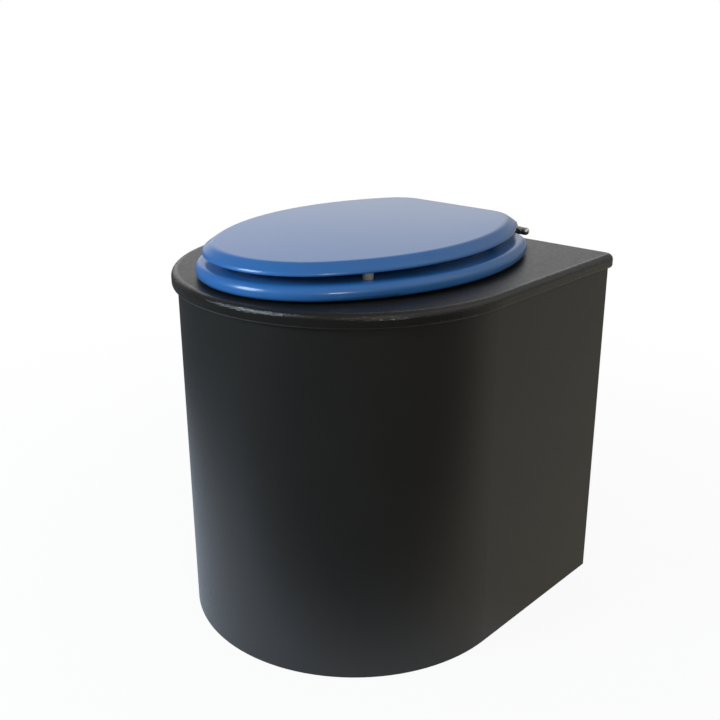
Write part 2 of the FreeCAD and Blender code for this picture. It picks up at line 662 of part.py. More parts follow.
def make_hinges():
    pillar = body("pillar_blank")
    profile = sketch(pillar, "pillar_profile", "XZ_Plane")
    foot = "-deck_thickness - stud_reach"
    flange_top = "gasket + pillar_flange"
    polygon(profile, [("0", foot), ("stud_radius", foot), ("stud_radius", "gasket"),
                      ("pillar_flange_radius", "gasket"), ("pillar_flange_radius", flange_top),
                      ("pillar_radius", "pillar_neck_rise"), ("pillar_radius", "hinge_rise"),
                      ("0", "hinge_rise")])
    revolve(pillar, "pillar_turned", profile, "V_Axis")
    head = sketch(pillar, "pillar_head_plan", "YZ_Plane", "-pillar_head_inner")
    circle(head, "0", "hinge_rise", "pillar_head_radius")
    head_length = f"(pillar_head_inner + {HEAD_OUTER})"
    feature(pillar, "Pad", "pillar_head", head, Length=head_length)
    bore = put(cylinder("pillar_bore", "pin_radius", f"2 * {head_length}"),
               x=f"-{head_length}", z="hinge_rise", axis=(0, 1, 0), angle="90")
    bored = cut("pillar_bored", pillar, bore)

    gasket = cut("gasket_ring", cylinder("gasket_disc", "pillar_flange_radius", "gasket"),
                 cylinder("gasket_hole", "stud_radius + thread_fit", "gasket"))
    washer = cut("washer_ring", cylinder("washer_disc", "washer_radius", "washer"),
                 cylinder("washer_hole", "stud_radius + thread_fit", "washer"))
    nut = body("wing_nut")
    hub = sketch(nut, "nut_profile", "XZ_Plane")
    bore_radius = "stud_radius + thread_fit"
    polygon(hub, [(bore_radius, "0"), ("nut_radius", "0"), ("nut_radius", "-nut_height / 2"),
                  (f"{bore_radius} + nut_lip", "-nut_height"), (bore_radius, "-nut_height")])
    revolve(nut, "nut_turned", hub, "V_Axis")
    for sign, side in ((1, "right"), (-1, "left")):
        wing = sketch(nut, f"wing_{side}", "XZ_Plane", "-wing_thickness / 2")
        outline = [("nut_radius - wing_root", "-wing_root"), ("wing_span - wing_tip", "-nut_height / 2"),
                   ("wing_span", "-nut_height"), ("wing_span - wing_root", "-nut_height - wing_drop"),
                   ("wing_span - wing_tip", "-nut_height - wing_drop"),
                   ("nut_radius - wing_root", "-nut_height / 2")]
        polygon(wing, [(f"{sign} * ({x})", z) for x, z in outline])
        feature(nut, "Pad", f"wing_{side}_pad", wing, Length="wing_thickness")

    places = [{"x": f"{sign} * hinge_spacing / 2", "y": HINGE_Y} for sign in SIDES.values()]
    node(group("gaskets", gasket, [{**p, "z": DECK_TOP} for p in places]), "hinge_gaskets")
    node(group("washers", washer, [{**p, "z": "casing_height - washer"} for p in places]), "hinge_washers")
    node(group("nuts", nut, [{**p, "z": "casing_height - washer"} for p in places]), "hinge_wing_nuts")

    collar = cylinder("cap_collar_disc", "cap_radius", "cap_collar")
    neck = put(cylinder("cap_neck_part", "cap_neck_radius", "cap_neck"), z="cap_collar")
    barrel = put(cylinder("cap_barrel_part", "cap_radius", "cap_barrel"), z="cap_collar + cap_neck")
    dome = doc.addObject("Part::Sphere", "cap_dome")
    tie(dome, Radius="cap_radius")
    put(dome, z="cap_collar + cap_neck + cap_barrel")
    dome.Angle1 = 0
    cap = fuse("pin_cap", collar, neck, barrel, dome)
    inner_end = "(hinge_spacing / 2 - pillar_head_inner)"
    outer_end = f"({FIRST_KNUCKLE} + 2 * {KNUCKLE_STEP})"
    for side, sign in SIDES.items():
        copy = doc.addObject("App::Link", f"pillar_{side}")
        copy.LinkedObject = bored
        turn = {} if sign > 0 else {"axis": (0, 0, 1), "angle": "180"}
        put(copy, f"{sign} * hinge_spacing / 2", HINGE_Y, DECK_TOP, **turn)
        node(copy, f"hinge_pillar_{side}")
        pin = cylinder(f"pin_{side}", "pin_radius", f"{outer_end} - {inner_end}")
        start = inner_end if sign > 0 else f"-{outer_end}"
        node(put(pin, start, HINGE_Y, HINGE_Z, (0, 1, 0), "90"), f"hinge_pin_{side}")
    node(group("caps", cap, [
        {"x": f"{sign} * {outer_end}", "y": HINGE_Y, "z": HINGE_Z, "axis": (0, 1, 0), "angle": f"{sign} * 90"}
        for sign in SIDES.values()]), "hinge_pin_caps")


def bracket(name, side, sign, step, leaf_low, drills):
    """A hinge bracket: a screwed leaf, an arm behind the board and a knuckle on the pin."""
    near = f"({FIRST_KNUCKLE} + {step} * {KNUCKLE_STEP})"
    start = near if sign > 0 else f"(-{near} - knuckle_length)"
    piece = body(f"{name}_{side}_blank")
    knuckle = sketch(piece, f"{name}_{side}_knuckle", "YZ_Plane", start)
    circle(knuckle, HINGE_Y, HINGE_Z, "knuckle_radius")
    feature(piece, "Pad", f"{name}_{side}_knuckle_pad", knuckle, Length="knuckle_length")
    arm = sketch(piece, f"{name}_{side}_arm", "YZ_Plane", start)
    leaf_high = f"({leaf_low} + leaf)"
    foot = f"{HINGE_Y} - pillar_flange_radius - arm_clearance"
    toe = f"{foot} - leaf"
    low_end, high_end = (foot, toe) if value(leaf_low) < value(HINGE_Z) else (toe, foot)
    turn = [(HINGE_Y, HINGE_Z), (f"{HINGE_Y} - arm_width / 2", HINGE_Z)]
    if low_end == toe:
        turn.reverse()
    polygon(arm, [(LEAF_FRONT, leaf_low), (low_end, leaf_low), *turn,
                  (high_end, leaf_high), (LEAF_FRONT, leaf_high)])
    feature(piece, "Pad", f"{name}_{side}_arm_pad", arm, Length="knuckle_length")
    leaf = sketch(piece, f"{name}_{side}_leaf", lift=leaf_low)
    middle = f"({sign} * ({near} + knuckle_length / 2))"
    rectangle(leaf, (f"{middle} - leaf_width / 2", f"{middle} + leaf_width / 2"),
              (LEAF_FRONT, f"{LEAF_FRONT} + leaf_length"))
    feature(piece, "Pad", f"{name}_{side}_leaf_pad", leaf, Length="leaf")
    bore = put(cylinder(f"{name}_{side}_bore", "pin_radius + pin_fit", "knuckle_length"),
               start, HINGE_Y, HINGE_Z, (0, 1, 0), "90")
    bored = cut(f"{name}_{side}_bored", piece, bore)
    node(cut(f"{name}_{side}_drilled", bored, drills), f"{name}_{side}")


def leaf_screws(name, step, length, leaf_low):
    middle = f"({FIRST_KNUCKLE} + {step} * {KNUCKLE_STEP} + knuckle_length / 2)"
    centre = f"{LEAF_FRONT} + leaf_length / 2"
    return screw_set(name, length, [
        {"x": f"{sign} * {middle}", "y": f"{centre} + {end} * leaf_screw_pitch / 2", "z": leaf_low,
         "axis": (1, 0, 0), "angle": "180"}
        for sign in SIDES.values() for end in (-1, 1)])


def bumpers(board, height, z):
    """Four rubber bumpers under a board, front and rear pairs."""
    kind = f"{board}_bumper"
    half, front, rear, _ = OUTLINES[board]
    pairs = ((f"{half} - {kind}_front_inset", f"{front} + {kind}_front_setback"),
             (f"{half} - {kind}_rear_inset", f"{rear} - {kind}_rear_setback"))
    bumper = cone(f"{kind}_master", f"{kind}_radius - bumper_draft", f"{kind}_radius", height)
    node(group(f"{kind}_set", bumper, [
        {"x": f"{sign} * ({x})", "y": y, "z": z}
        for sign in SIDES.values() for x, y in pairs]), f"{kind}s")


# Seat and lid

def make_seat():
    ring = body("seat_blank")
    plan = sketch(ring, "seat_plan", lift=SEAT_UNDER)
    oval(plan, "seat")
    oval(plan, "hole")
    feature(ring, "Pad", "seat_pad", plan, Length="seat_thickness")
    round_rim(ring, "seat_top_edge", SEAT_TOP, "seat_top_round")
    round_rim(ring, "seat_under_edge", SEAT_UNDER, "seat_thickness - seat_top_round - seat_edge_flat")
    round_rim(ring, "hole_top_edge", SEAT_TOP, "hole_top_round", inner=True)
    round_rim(ring, "hole_under_edge", SEAT_UNDER, "hole_under_round", inner=True)
    leaf_low = f"({SEAT_UNDER} - leaf)"
    drills = leaf_screws("seat_bracket_screws", 0, "seat_screw_length", leaf_low)
    node(cut("seat_drilled", ring, drills), "seat_ring")
    for side, sign in SIDES.items():
        bracket("seat_bracket", side, sign, 0, leaf_low, drills)
    bumpers("seat", SEAT_GAP, DECK_TOP)


def make_lid():
    panel = body("lid_blank")
    plan = sketch(panel, "lid_plan", lift=LID_UNDER)
    oval(plan, "lid")
    feature(panel, "Pad", "lid_pad", plan, Length="lid_thickness")
    round_rim(panel, "lid_top_edge", f"{LID_UNDER} + lid_thickness",
              "lid_thickness - lid_under_round - lid_edge_flat")
    round_rim(panel, "lid_under_edge", LID_UNDER, "lid_under_round")
    leaf_low = f"({LID_UNDER} - leaf)"
    drills = leaf_screws("lid_bracket_screws", 1, "lid_screw_length", leaf_low)
    node(cut("lid_drilled", panel, drills), "lid_panel")
    for side, sign in SIDES.items():
        bracket("lid_bracket", side, sign, 1, leaf_low, drills)
    bumpers("lid", "lid_gap", SEAT_TOP)


# Bucket and bail

def make_bucket():
    shell = body("bucket_body")
    profile = sketch(shell, "bucket_profile", "XZ_Plane")
    shoulder, brim = "bucket_height - bucket_bead", f"{RIM_RADIUS} + bucket_bead"
    polygon(profile, [
        ("0", "0"), (FOOT_RADIUS, "0"), (RIM_RADIUS, shoulder), (brim, shoulder), (brim, "bucket_height"),
        (f"{RIM_RADIUS} - bucket_sheet", "bucket_height"),
        (f"{FOOT_RADIUS} - bucket_sheet", "bucket_sheet"), ("0", "bucket_sheet")])
    revolve(shell, "bucket_turned", profile, "V_Axis")
    doc.recompute()
    base = shell.Tip
    outer = value(brim)
    edges = [f"Edge{i}" for i, e in enumerate(base.Shape.Edges, 1)
             if isinstance(e.Curve, Part.Circle) and abs(e.Curve.Radius - outer) < 1e-6]
    bead = shell.newObject("PartDesign::Fillet", "bucket_bead_round")
    bead.Base = (base, edges)
    tie(bead, Radius="bead_round")
    node(put(shell, y=BUCKET_Y, z="base_thickness"), "bucket_shell")

    ear_wall = f"({EAR_WALL} + ear_fit)"
    outside = cone("bucket_outside", f"{ear_wall} - {SLOPE} * 2 * ear_radius",
                   f"{ear_wall} + {SLOPE} * 2 * ear_radius", "4 * ear_radius")
    put(outside, y=BUCKET_Y, z=f"{EAR_Z} - 2 * ear_radius")
    for side, sign in SIDES.items():
        boss = put(cylinder(f"ear_{side}", "ear_radius", "2 * ear_reach"),
                   f"{sign} * ({RIM_RADIUS} - ear_reach)", BUCKET_Y, EAR_Z, (0, 1, 0),
                   f"{sign} * 90")
        seated = cut(f"ear_{side}_seated", boss, outside)
        bore = cylinder(f"ear_{side}_bore", "bail_wire + bail_bore_fit", "bail_pin_depth + bail_end_play")
        put(bore, f"{sign} * {EAR_FACE}", BUCKET_Y, EAR_Z, (0, 1, 0), f"{sign} * -90")
        node(cut(f"ear_{side}_bored", seated, bore), f"bucket_ear_{side}")


def make_bail():
    """The bail is drawn flat, its pivot on the X axis, and then tipped down behind the rim."""
    rest = {"y": BUCKET_Y, "z": EAR_Z, "axis": (1, 0, 0), "angle": f"-{BAIL_REST}"}
    wire = body("bail_body")
    path = sketch(wire, "bail_path")
    start, bend, reach = f"({EAR_FACE} - bail_pin_depth)", f"({BAIL_RADIUS} - bail_elbow)", "bail_straight"
    a, b, e, r, s = (value(f) for f in (start, bend, "bail_elbow", BAIL_RADIUS, reach))
    parts = [
        line(path, (a, 0), (b, 0)),
        arc(path, (b, e), e, -math.pi / 2, 0),
        line(path, (r, e), (r, s)),
        arc(path, (0, s), r, 0, math.pi),
        line(path, (-r, s), (-r, e)),
        arc(path, (-b, e), e, math.pi, 1.5 * math.pi),
        line(path, (-b, 0), (-a, 0)),
    ]
    join(path, "Tangent", *((parts[i], 2, parts[i + 1], 1) for i in range(6)))
    right_pin, right_bend, right_run, hoop, left_run, left_bend, left_pin = parts
    locate(path, right_pin, 1, start, "0")
    path.addConstraint(Sketcher.Constraint("Symmetric", right_pin, 1, left_pin, 2, -2))
    path.addConstraint(Sketcher.Constraint("Horizontal", right_pin))
    path.addConstraint(Sketcher.Constraint("Horizontal", left_pin))
    path.addConstraint(Sketcher.Constraint("Vertical", right_run))
    path.addConstraint(Sketcher.Constraint("Equal", right_bend, left_bend))
    dimension(path, "Radius", (right_bend,), "bail_elbow")
    dimension(path, "Radius", (hoop,), BAIL_RADIUS)
    locate(path, hoop, 3, "0", reach)
    section = sketch(wire, "bail_section", "YZ_Plane", start)
    circle(section, "0", "0", "bail_wire")
    pipe = feature(wire, "AdditivePipe", "bail_pipe", section)
    pipe.Spine = (path, [])
    node(put(wire, **rest), "bucket_bail")

    grip = body("grip_body")
    ring = sketch(grip, "grip_section", "XZ_Plane")
    circle(ring, BAIL_RADIUS, "0", "grip_radius")
    circle(ring, BAIL_RADIUS, "0", "bail_wire + bail_bore_fit")
    revolve(grip, "grip_turned", ring, "V_Axis", "grip_angle")
    put(grip, y=reach, axis=(0, 0, 1), angle="90 - grip_angle / 2")
    node(group("grip", grip, [rest]), "bail_grip")


make_casing()
make_deck()
make_hinges()
make_seat()
make_lid()
make_bucket()
make_bail()
doc.recompute()

for thing in doc.Objects:
    if "Invalid" in thing.State or "Error" in thing.State:
        raise RuntimeError(f"{thing.Name} ({thing.Label}) did not rebuild: {thing.State}")
os.makedirs("parts", exist_ok=True)
shapes = {}
for thing in nodes:
    shape = Part.getShape(thing)
    if shape.isNull() or not shape.isValid() or not shape.Solids:
        raise RuntimeError(f"{thing.Label} has no sound shape")
    shapes[thing.Label] = shape
for name, shape in shapes.items():
    shape.exportStep(f"parts/{name}.step")
    print(f"{name}: {len(shape.Solids)} solid(s), {shape.Volume / 1000:.1f} cm3")
whole = Part.makeCompound(list(shapes.values())).BoundBox
print(f"{len(shapes)} nodes, {whole.XLength:.1f} x {whole.YLength:.1f} x {whole.ZLength:.1f} mm")
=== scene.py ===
import math

import bmesh
import bpy
from mathutils import Matrix, Vector


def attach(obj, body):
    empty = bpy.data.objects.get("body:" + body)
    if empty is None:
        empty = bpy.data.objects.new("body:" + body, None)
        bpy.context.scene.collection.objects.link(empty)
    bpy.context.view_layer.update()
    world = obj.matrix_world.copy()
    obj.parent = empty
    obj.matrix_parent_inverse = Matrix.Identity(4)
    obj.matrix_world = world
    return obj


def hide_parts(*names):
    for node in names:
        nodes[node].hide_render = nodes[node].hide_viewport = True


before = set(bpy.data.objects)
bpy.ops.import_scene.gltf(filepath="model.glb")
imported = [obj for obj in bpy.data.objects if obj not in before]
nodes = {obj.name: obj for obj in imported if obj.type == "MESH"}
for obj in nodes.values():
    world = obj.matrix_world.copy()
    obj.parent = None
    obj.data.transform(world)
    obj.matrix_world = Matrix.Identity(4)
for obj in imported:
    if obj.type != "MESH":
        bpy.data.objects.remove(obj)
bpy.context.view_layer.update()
scene = bpy.context.scene
print("frame loaded,", len(nodes), "nodes")


# camera where the photograph was taken from: front right, a little above
cameraSet = {
    "azimuth": 42.43,
    "elevation": 19.95,
    "distance": 1.33606,
    "target": (-0.03013, 0.02891, 0.30927),
    "roll": -0.25,
    "lens": 49.08,
    "sensor": 36.0,
    "clip": (0.05, 50.0),
}


def awayFrom(spec):
    az, el = math.radians(spec["azimuth"]), math.radians(spec["elevation"])
    return Vector((math.sin(az) * math.cos(el), -math.cos(az) * math.cos(el), math.sin(el)))


def makeCamera(spec):
    back, az = awayFrom(spec), math.radians(spec["azimuth"])
    right = Vector((math.cos(az), math.sin(az), 0))
    turn = Matrix((right, back.cross(right), back)).transposed()
    roll = Matrix.Rotation(math.radians(spec["roll"]), 3, "Z")
    data = bpy.data.cameras.new("photoCamera")
    data.sensor_width = spec["sensor"]
    data.lens = spec["lens"]
    data.clip_start, data.clip_end = spec["clip"]
    camera = bpy.data.objects.new("photoCamera", data)
    place = Matrix.Translation(Vector(spec["target"]) + back * spec["distance"])
    camera.matrix_world = place @ (turn @ roll).to_4x4()
    scene.collection.objects.link(camera)
    scene.camera = camera


makeCamera(cameraSet)
scene.view_settings.view_transform = "Standard"
print("camera placed")


# shader helpers: each material is a small node tree around one Principled BSDF
def addNode(tree, kind, inputs=None, **settings):
    node = tree.nodes.new(kind)
    for key, value in settings.items():
        setattr(node, key, value)
    for key, value in (inputs or {}).items():
        if isinstance(value, bpy.types.NodeSocket):
            tree.links.new(value, node.inputs[key])
        else:
            node.inputs[key].default_value = value
    return node


def mathNode(tree, operation, first, second=0.0):
    return addNode(tree, "ShaderNodeMath", {0: first, 1: second}, operation=operation).outputs[0]


def vectorNode(tree, operation, inputs, out="Vector"):
    return addNode(tree, "ShaderNodeVectorMath", inputs, operation=operation).outputs[out]


def objectPoint(tree):
    return addNode(tree, "ShaderNodeTexCoord").outputs["Object"]


def axes(tree, vector):
    return addNode(tree, "ShaderNodeSeparateXYZ", {"Vector": vector}).outputs


def noise(tree, where, scale, detail, rough=0.5, out="Fac"):
    inputs = {"Vector": where, "Scale": scale, "Detail": detail, "Roughness": rough}
    return addNode(tree, "ShaderNodeTexNoise", inputs).outputs[out]


def spread(tree, value, low, high, toLow=0.0, toHigh=1.0):
    ends = {"From Min": low, "From Max": high, "To Min": toLow, "To Max": toHigh}
    return addNode(tree, "ShaderNodeMapRange", {"Value": value, **ends}).outputs["Result"]


def blend(tree, share, first, second):
    part = mathNode(tree, "MULTIPLY", first, share)
    return mathNode(tree, "ADD", part, mathNode(tree, "MULTIPLY", second, 1 - share))


def pick(tree, factor, first, second):
    return addNode(tree, "ShaderNodeMix", {0: factor, 2: first, 3: second}).outputs[0]


def colorOf(value):
    return value if isinstance(value, bpy.types.NodeSocket) else (*value, 1)


def tint(tree, factor, first, second):
    inputs = {0: factor, 6: colorOf(first), 7: colorOf(second)}
    return addNode(tree, "ShaderNodeMix", inputs, data_type="RGBA").outputs[2]


def newGroup(name, inputs, outputs):
    tree = bpy.data.node_groups.new(name, "ShaderNodeTree")
    for label, default in inputs.items():
        kind = "NodeSocketVector" if isinstance(default, tuple) else "NodeSocketFloat"
        tree.interface.new_socket(label, in_out="INPUT", socket_type=kind).default_value = default
    for label in outputs:
        tree.interface.new_socket(label, in_out="OUTPUT", socket_type="NodeSocketFloat")
    return tree, tree.nodes.new("NodeGroupInput").outputs, tree.nodes.new("NodeGroupOutput").inputs


def useGroup(tree, group, **values):
    return addNode(tree, "ShaderNodeGroup", values, node_tree=group).outputs


def newMaterial(name, **settings):
    material = bpy.data.materials.new(name)
    material.use_nodes = True
    shader = material.node_tree.nodes["Principled BSDF"]
    for key, value in settings.items():
        shader.inputs[key].default_value = value
    return material, material.node_tree, shader


def dress(tree, shader, color, rough):
    tree.links.new(color, shader.inputs["Base Color"])
    tree.links.new(rough, shader.inputs["Roughness"])


def bump(tree, shader, height, strength, distance):
    node = addNode(tree, "ShaderNodeBump", {"Height": height, "Strength": strength, "Distance": distance})
    tree.links.new(node.outputs["Normal"], shader.inputs["Normal"])


# grain of the black film: bent pebbles with a finer noise on top
leatherSet = {
    "drift": 0.6,
    "middle": (0.5, 0.5, 0.5),
    "dome": 0.35,
    "domeShare": 0.8,
    "fine": 3.0,
    "detail": 2.0,
}


def buildLeatherGrain(spec):
    tree, start, end = newGroup("leatherGrain", {"Scale": 700.0, "Wander": 0.3}, ("Height", "Cell"))
    where, scale = objectPoint(tree), start["Scale"]
    drift = noise(tree, where, mathNode(tree, "MULTIPLY", scale, spec["drift"]), spec["detail"], out="Color")
    shift = vectorNode(tree, "SUBTRACT", {0: drift, 1: spec["middle"]})
    reach = mathNode(tree, "DIVIDE", start["Wander"], scale)
    bent = vectorNode(tree, "SCALE", {0: shift, "Scale": reach})
    cells = {"Vector": vectorNode(tree, "ADD", {0: where, 1: bent}), "Scale": scale}
    crease = addNode(tree, "ShaderNodeTexVoronoi", cells, feature="DISTANCE_TO_EDGE").outputs["Distance"]
    pebble = addNode(tree, "ShaderNodeTexVoronoi", cells).outputs["Color"]
    dome = spread(tree, crease, 0.0, spec["dome"])
    fine = noise(tree, where, mathNode(tree, "MULTIPLY", scale, spec["fine"]), spec["detail"])
    tree.links.new(blend(tree, spec["domeShare"], dome, fine), end["Height"])
    tone = addNode(tree, "ShaderNodeSeparateColor", {"Color": pebble})
    tree.links.new(tone.outputs["Red"], end["Cell"])
    return tree


# soft clouds, for small changes of colour and gloss
mottleSet = {"rough": 0.55, "span": (0.3, 0.7)}


def buildSoftMottle(spec):
    tree, start, end = newGroup("softMottle", {"Scale": 8.0, "Detail": 3.0}, ("Value",))
    cloud = noise(tree, objectPoint(tree), start["Scale"], start["Detail"], spec["rough"])
    tree.links.new(spread(tree, cloud, *spec["span"]), end["Value"])
    return tree


# fine lines that run round the vertical axis, as on spun or rolled sheet
brushSet = {"detail": 3.0, "span": (0.3, 0.7), "pull": {"X": "Run", "Y": "Run", "Z": "Scale"}}


def buildBrushedLines(spec):
    tree, start, end = newGroup("brushedLines", {"Scale": 900.0, "Run": 30.0}, ("Value",))
    part = axes(tree, objectPoint(tree))
    drawn = {axis: mathNode(tree, "MULTIPLY", part[axis], start[pull]) for axis, pull in spec["pull"].items()}
    where = addNode(tree, "ShaderNodeCombineXYZ", drawn).outputs["Vector"]
    tree.links.new(spread(tree, noise(tree, where, 1.0, spec["detail"]), *spec["span"]), end["Value"])
    return tree


# growth rings stretched along one axis, with pores
ringSet = {
    "bendScale": 14.0,
    "bend": 9.0,
    "sharp": 2.2,
    "poreScale": 900.0,
    "poreSpan": (0.35, 0.65),
    "detail": 2.0,
}


def buildPineGrain(spec):
    tree, start, end = newGroup("pineGrain", {"Along": (1.0, 1.0, 0.06), "Rings": 120.0}, ("Rings", "Pores"))
    drawn = vectorNode(tree, "MULTIPLY", {0: objectPoint(tree), 1: start["Along"]})
    bend = noise(tree, drawn, spec["bendScale"], spec["detail"])
    side = axes(tree, drawn)
    sweep = mathNode(tree, "ADD", mathNode(tree, "ADD", side["X"], side["Y"]), side["Z"])
    turns = mathNode(tree, "MULTIPLY", sweep, start["Rings"])
    phase = mathNode(tree, "ADD", turns, mathNode(tree, "MULTIPLY", bend, spec["bend"]))
    ring = mathNode(tree, "FRACT", phase)
    tree.links.new(mathNode(tree, "POWER", ring, spec["sharp"]), end["Rings"])
    pores = noise(tree, drawn, spec["poreScale"], spec["detail"])
    tree.links.new(spread(tree, pores, *spec["poreSpan"]), end["Pores"])
    return tree


# how far a point lies inside the horseshoe outline of casing and deck
outlineSet = {"frontCentre": -0.0145}


def buildEdgeDepth(spec):
    tree, start, end = newGroup("edgeDepth", {"Half": 0.220, "Rear": 0.2345}, ("Value",))
    part = axes(tree, objectPoint(tree))
    ahead = mathNode(tree, "MINIMUM", mathNode(tree, "SUBTRACT", part["Y"], spec["frontCentre"]), 0.0)
    plan = addNode(tree, "ShaderNodeCombineXYZ", {"X": part["X"], "Y": ahead}).outputs["Vector"]
    side = mathNode(tree, "SUBTRACT", start["Half"], vectorNode(tree, "LENGTH", {0: plan}, "Value"))
    back = mathNode(tree, "SUBTRACT", start["Rear"], part["Y"])
    tree.links.new(mathNode(tree, "MINIMUM", side, back), end["Value"])
    return tree


leatherGrain = buildLeatherGrain(leatherSet)
softMottle = buildSoftMottle(mottleSet)
brushedLines = buildBrushedLines(brushSet)
pineGrain = buildPineGrain(ringSet)
edgeDepth = buildEdgeDepth(outlineSet)
print("surface effects built")


# raw softwood, grain along one axis
pineSet = {
    "early": (0.50, 0.34, 0.19),
    "late": (0.36, 0.21, 0.10),
    "rough": (0.55, 0.72),
    "along": {"X": (0.05, 1.0, 1.0), "Y": (1.0, 0.05, 1.0), "Z": (1.0, 1.0, 0.05)},
    "rings": 140.0,
    "ringShare": 0.75,
    "strength": 0.25,
    "lift": 0.00015,
}


def pineMaterial(axis):
    material, tree, shader = newMaterial("pine" + axis)
    grain = useGroup(tree, pineGrain, Along=pineSet["along"][axis], Rings=pineSet["rings"])
    tone = blend(tree, pineSet["ringShare"], grain["Rings"], grain["Pores"])
    rough = spread(tree, tone, 0.0, 1.0, *pineSet["rough"])
    dress(tree, shader, tint(tree, tone, pineSet["early"], pineSet["late"]), rough)
    bump(tree, shader, grain["Pores"], pineSet["strength"], pineSet["lift"])
    return material


# black board with a leather-like film outside and on its edges
boardSet = {
    "deep": (0.0104, 0.0095, 0.0078),
    "pale": (0.0133, 0.0124, 0.0105),
    "rough": (0.34, 0.42),
    "wander": 0.5,
    "cloud": 9.0,
    "cloudDetail": 3.0,
    "cloudShare": 0.8,
}
wallSet = {
    "half": 0.220,
    "rear": 0.2345,
    "specular": 0.54,
    "grain": 720.0,
    "strength": 0.12,
    "lift": 0.00014,
    "skin": (0.0085, 0.0087),
    "ply": (0.46, 0.31, 0.17),
    "plyDark": (0.34, 0.21, 0.105),
    "plyRings": 60.0,
    "plyRough": 0.7,
}
deckSet = {
    "half": 0.227,
    "rear": 0.2415,
    "specular": 0.44,
    "grain": 420.0,
    "strength": 1.0,
    "lift": 0.00021,
    "rim": (0.0095, 0.0060),
    "flat": 0.04,
    "rimShine": 0.42,
    "underEdge": (0.4440, 0.4462),
    "dull": 0.75,
}


def filmOn(tree, spec):
    grain = useGroup(tree, leatherGrain, Scale=spec["grain"], Wander=boardSet["wander"])
    cloud = useGroup(tree, softMottle, Scale=boardSet["cloud"], Detail=boardSet["cloudDetail"])
    tone = blend(tree, boardSet["cloudShare"], cloud["Value"], grain["Cell"])
    color = tint(tree, tone, boardSet["deep"], boardSet["pale"])
    rough = spread(tree, grain["Cell"], 0.0, 1.0, *boardSet["rough"])
    depth = useGroup(tree, edgeDepth, Half=spec["half"], Rear=spec["rear"])["Value"]
    return color, rough, grain["Height"], depth


def wallMaterial(spec):
    material, tree, shader = newMaterial("grainedWall", **{"Specular IOR Level": spec["specular"]})
    color, rough, height, depth = filmOn(tree, spec)
    inner = spread(tree, depth, *spec["skin"])  # 1 on the faces towards the inside, which are bare ply
    ply = useGroup(tree, pineGrain, Along=pineSet["along"]["Z"], Rings=spec["plyRings"])
    bare = tint(tree, ply["Rings"], spec["ply"], spec["plyDark"])
    rough = mathNode(tree, "MAXIMUM", rough, mathNode(tree, "MULTIPLY", inner, spec["plyRough"]))
    dress(tree, shader, tint(tree, inner, color, bare), rough)
    bump(tree, shader, height, spec["strength"], spec["lift"])
    return material


def deckMaterial(spec):
    material, tree, shader = newMaterial("grainedDeck", **{"Specular IOR Level": spec["specular"]})
    color, rough, height, depth = filmOn(tree, spec)
    stretch = spread(tree, depth, *spec["rim"], spec["flat"], 1.0)  # the grain opens over the rounded edge
    shine = spread(tree, depth, *spec["rim"], 1.0, spec["rimShine"])
    under = spread(tree, axes(tree, objectPoint(tree))["Z"], *spec["underEdge"], spec["dull"], 0.0)
    rough = mathNode(tree, "MAXIMUM", mathNode(tree, "MULTIPLY", rough, shine), under)
    dress(tree, shader, color, rough)
    bump(tree, shader, mathNode(tree, "MULTIPLY", height, stretch), spec["strength"], spec["lift"])
    return material


# blue satin paint on seat and lid
paintSet = {
    "deep": (0.0205, 0.133, 0.382),
    "pale": (0.0235, 0.143, 0.402),
    "rough": (0.40, 0.43),
    "specular": 0.25,
    "coat": 0.72,
    "coatRough": 0.18,
    "cloud": 14.0,
    "cloudDetail": 4.0,
    "peel": 420.0,
    "peelDetail": 1.0,
    "peelDepth": 0.00012,
    "peelStrength": 0.10,
}


def paintMaterial(spec):
    gloss = {"Specular IOR Level": spec["specular"], "Coat Weight": spec["coat"], "Coat Roughness": spec["coatRough"]}
    material, tree, shader = newMaterial("bluePaint", **gloss)
    cloud = useGroup(tree, softMottle, Scale=spec["cloud"], Detail=spec["cloudDetail"])["Value"]
    peel = useGroup(tree, softMottle, Scale=spec["peel"], Detail=spec["peelDetail"])["Value"]
    dress(tree, shader, tint(tree, cloud, spec["deep"], spec["pale"]), spread(tree, cloud, 0.0, 1.0, *spec["rough"]))
    bump(tree, shader, peel, spec["peelStrength"], spec["peelDepth"])
    return material


# plated hinge and zinc screws, rubber and plastic: small clouds over one plain tone
plainSet = {
    "detail": 3.0,
    "strength": 0.2,
    "lift": 0.00008,
    "platedHinge": {"dark": (0.60, 0.56, 0.50), "light": (0.76, 0.72, 0.65), "rough": (0.24, 0.36), "scale": 160.0},
    "zincScrew": {"dark": (0.46, 0.46, 0.45), "light": (0.62, 0.62, 0.60), "rough": (0.28, 0.42), "scale": 400.0},
    "paleRubber": {"dark": (0.32, 0.30, 0.27), "light": (0.43, 0.41, 0.37), "rough": (0.50, 0.68), "scale": 300.0},
    "blackRubber": {"dark": (0.018, 0.018, 0.018), "light": (0.03, 0.03, 0.03), "rough": (0.55, 0.75), "scale": 300.0},
    "blackGrip": {"dark": (0.014, 0.014, 0.015), "light": (0.024, 0.024, 0.026), "rough": (0.36, 0.50), "scale": 500.0},
}


def plainMaterial(name, metal):
    spec = plainSet[name]
    material, tree, shader = newMaterial(name, Metallic=1.0 if metal else 0.0)
    cloud = useGroup(tree, softMottle, Scale=spec["scale"], Detail=plainSet["detail"])["Value"]
    dress(tree, shader, tint(tree, cloud, spec["dark"], spec["light"]), spread(tree, cloud, 0.0, 1.0, *spec["rough"]))
    if not metal:
        bump(tree, shader, cloud, plainSet["strength"], plainSet["lift"])
    return material


